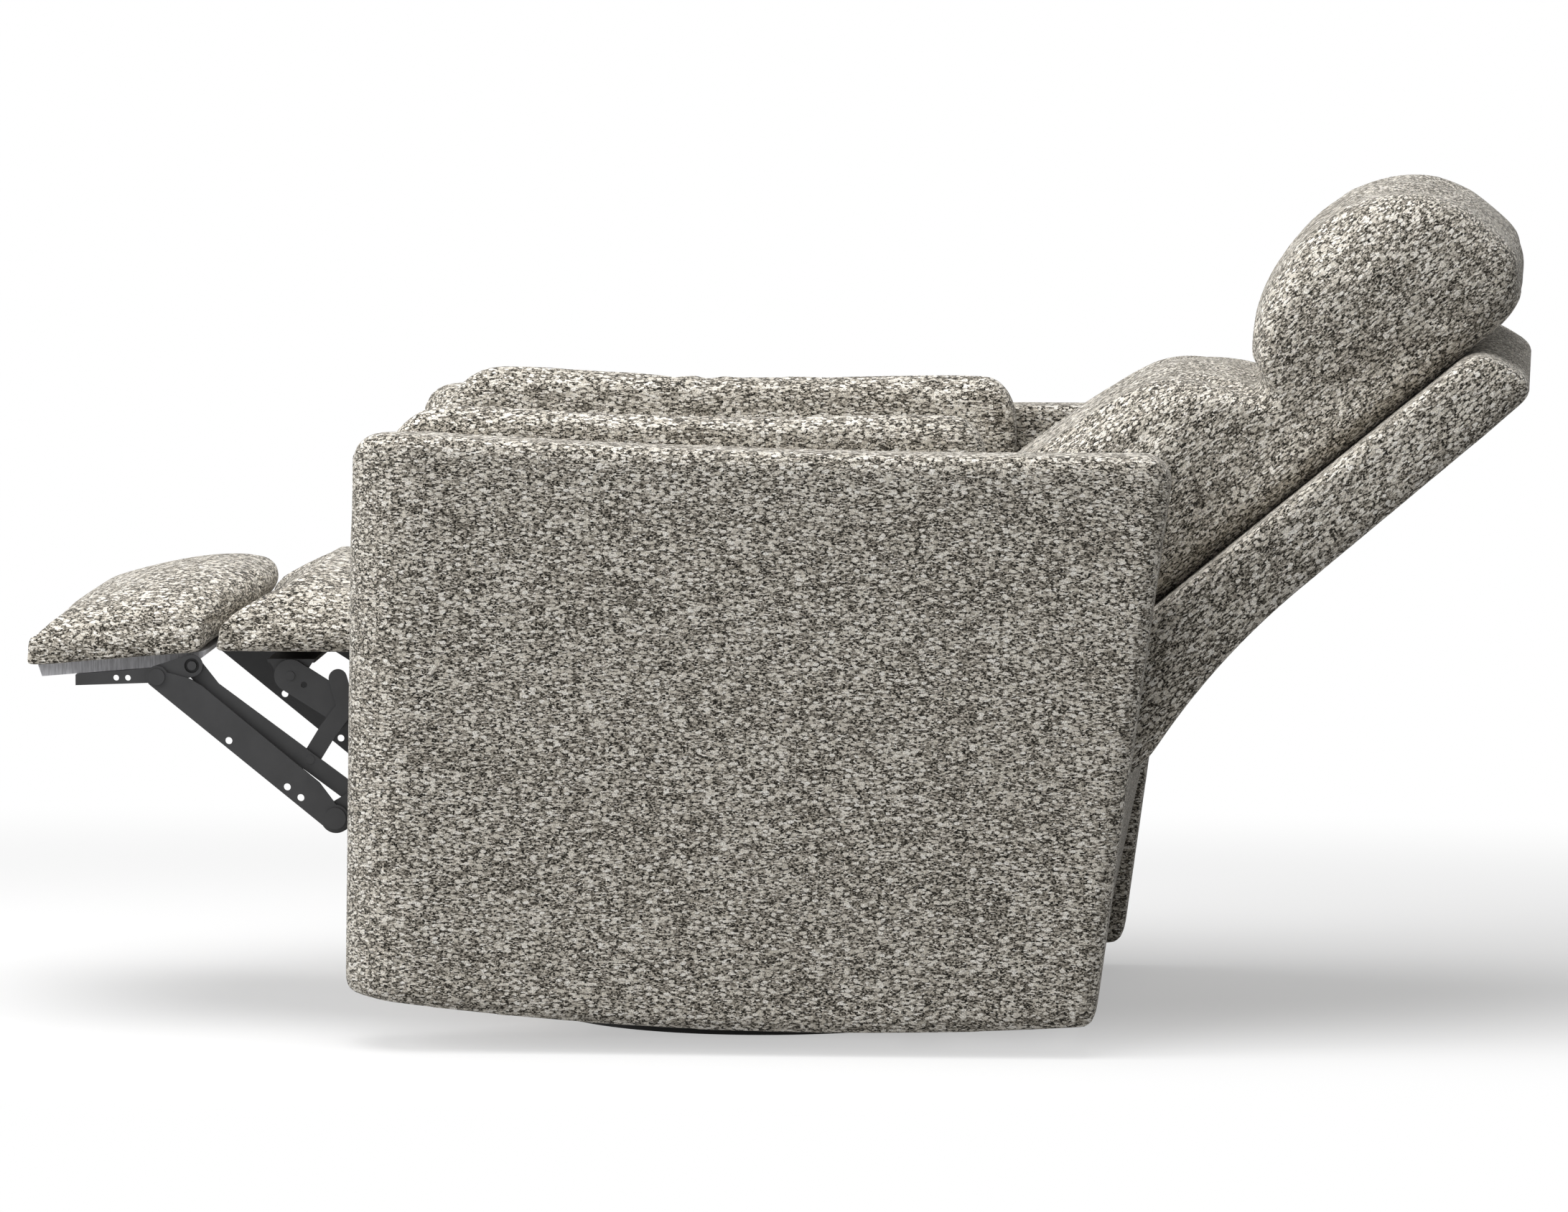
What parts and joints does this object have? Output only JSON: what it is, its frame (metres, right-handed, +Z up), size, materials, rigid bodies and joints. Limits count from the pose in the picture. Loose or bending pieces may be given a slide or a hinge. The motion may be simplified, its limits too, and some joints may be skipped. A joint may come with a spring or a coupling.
{
  "type": "swivel glider recliner",
  "caption": "Upholstered recliner with a pillow back, wrapped arms and a folding footrest, on a gliding carriage over a swivel base.",
  "frame": {"origin": "swivel axis at the floor, on the underside of the floor pad", "axes": "+Z up, -Y the way the sitter faces, +X the sitter's left"},
  "size_m": [0.842, 1.6549, 0.945],
  "materials": {
    "upholstery": "matte",
    "lining": "matte",
    "black_steel": "satin",
    "frame_wood": "matte",
    "black_plastic": "matte",
    "rubber": "matte"
  },
  "bodies": {
    "base": {"floor_pad": "rubber", "base_plate": "black_steel", "thrust_ring": "black_plastic"},
    "turntable": {"turntable_plate": "black_steel", "tie_rod": "black_steel", "stand_left": "black_steel", "stand_right": "black_steel"},
    "front_swing": {"front_swing": "black_steel"},
    "rear_swing": {"rear_swing": "black_steel"},
    "carriage": {"front_beam": "frame_wood", "rear_beam": "frame_wood", "front_seat_rail": "frame_wood", "rear_seat_rail": "frame_wood", "seat_deck": "lining", "seat_cushion": "upholstery", "rear_panel": "upholstery", "release_cup": "black_plastic", "glide_rail_left": "black_steel", "glide_rail_right": "black_steel", "seat_post_left": "frame_wood", "seat_post_right": "frame_wood", "seat_bar_left": "frame_wood", "seat_bar_right": "frame_wood", "arm_panel_left": "upholstery", "arm_panel_right": "upholstery", "arm_wall_left": "upholstery", "arm_wall_right": "upholstery", "arm_pad_left": "upholstery", "arm_pad_right": "upholstery", "hinge_plate_left": "black_steel", "hinge_plate_right": "black_steel", "side_plate_left": "black_steel", "side_plate_right": "black_steel"},
    "back": {"back_shell": "upholstery", "head_cushion": "upholstery", "lumbar_cushion": "upholstery", "back_arm_left": "black_steel", "back_arm_right": "black_steel"},
    "release_lever": {"release_lever": "black_plastic"},
    "drive_links": {"drive_link_left": "black_steel", "drive_link_right": "black_steel"},
    "lower_links": {"lower_link_left": "black_steel", "lower_link_right": "black_steel"},
    "footrest": {"foot_board": "lining", "foot_pad": "upholstery", "foot_bracket_left": "black_steel", "foot_bracket_right": "black_steel"},
    "upper_links": {"upper_link_left": "black_steel", "upper_link_right": "black_steel"},
    "middle_rest": {"middle_board": "lining", "middle_pad": "upholstery", "flip_ear_left": "black_steel", "flip_ear_right": "black_steel", "middle_bracket_left": "black_steel", "middle_bracket_right": "black_steel"},
    "middle_links": {"middle_link_left": "black_steel", "middle_link_right": "black_steel"},
    "control_links": {"control_link_left": "black_steel", "control_link_right": "black_steel"}
  },
  "joints": [
    {"name": "swivel", "type": "hinge", "parent": "base", "child": "turntable", "pos_m": [0, 0, 0.03], "axis": [0, 0, 1], "continuous": true},
    {"name": "glide", "type": "hinge", "parent": "turntable", "child": "front_swing", "pos_m": [0, -0.13, 0.205], "axis": [1, 0, 0], "range_deg": [-18, 18]},
    {"name": "carriage_level", "type": "hinge", "parent": "front_swing", "child": "carriage", "pos_m": [0, -0.13, 0.075], "axis": [1, 0, 0], "range_deg": [-18, 18]},
    {"name": "rear_glide", "type": "hinge", "parent": "turntable", "child": "rear_swing", "pos_m": [0, 0.13, 0.205], "axis": [1, 0, 0], "range_deg": [-18, 18]},
    {"name": "recline", "type": "hinge", "parent": "carriage", "child": "back", "pos_m": [0, 0.364, 0.385], "axis": [1, 0, 0], "range_deg": [0, 36]},
    {"name": "release", "type": "hinge", "parent": "carriage", "child": "release_lever", "pos_m": [-0.413, -0.115, 0.546], "axis": [0, 1, 0], "range_deg": [0, 30], "stiffness_Nm_per_rad": 0.6},
    {"name": "footrest_drive", "type": "hinge", "parent": "carriage", "child": "drive_links", "pos_m": [0, -0.252, 0.358], "axis": [1, 0, 0], "range_deg": [0, 103.33]},
    {"name": "lower_link_turn", "type": "hinge", "parent": "drive_links", "child": "lower_links", "pos_m": [0, -0.453, 0.239], "axis": [1, 0, 0], "range_deg": [-68.84, 0]},
    {"name": "footrest_turn", "type": "hinge", "parent": "lower_links", "child": "footrest", "pos_m": [0, -0.65, 0.394], "axis": [1, 0, 0], "range_deg": [0, 55.71]},
    {"name": "upper_link_turn", "type": "hinge", "parent": "drive_links", "child": "upper_links", "pos_m": [0, -0.42374, 0.25632], "axis": [1, 0, 0], "range_deg": [-71.93, 0]},
    {"name": "middle_rest_turn", "type": "hinge", "parent": "carriage", "child": "middle_rest", "pos_m": [0, -0.4, 0.454], "axis": [1, 0, 0], "range_deg": [0, 90.01]},
    {"name": "middle_link_turn", "type": "hinge", "parent": "middle_rest", "child": "middle_links", "pos_m": [0, -0.505, 0.394], "axis": [1, 0, 0], "range_deg": [-76.61, 0]},
    {"name": "control_link_turn", "type": "hinge", "parent": "upper_links", "child": "control_links", "pos_m": [0, -0.4821, 0.3027], "axis": [1, 0, 0], "range_deg": [-12.01, 0]}
  ],
  "couplings": [
    {"joint": "carriage_level", "follows": "glide", "ratio": -1},
    {"joint": "rear_glide", "follows": "glide", "ratio": 1},
    {"joint": "lower_link_turn", "follows": "footrest_drive", "ratio": -0.66612},
    {"joint": "footrest_turn", "follows": "footrest_drive", "ratio": 0.53905},
    {"joint": "upper_link_turn", "follows": "footrest_drive", "ratio": -0.69602},
    {"joint": "middle_rest_turn", "follows": "footrest_drive", "ratio": 0.871},
    {"joint": "middle_link_turn", "follows": "footrest_drive", "ratio": -0.74131},
    {"joint": "control_link_turn", "follows": "footrest_drive", "ratio": -0.11613}
  ]
}
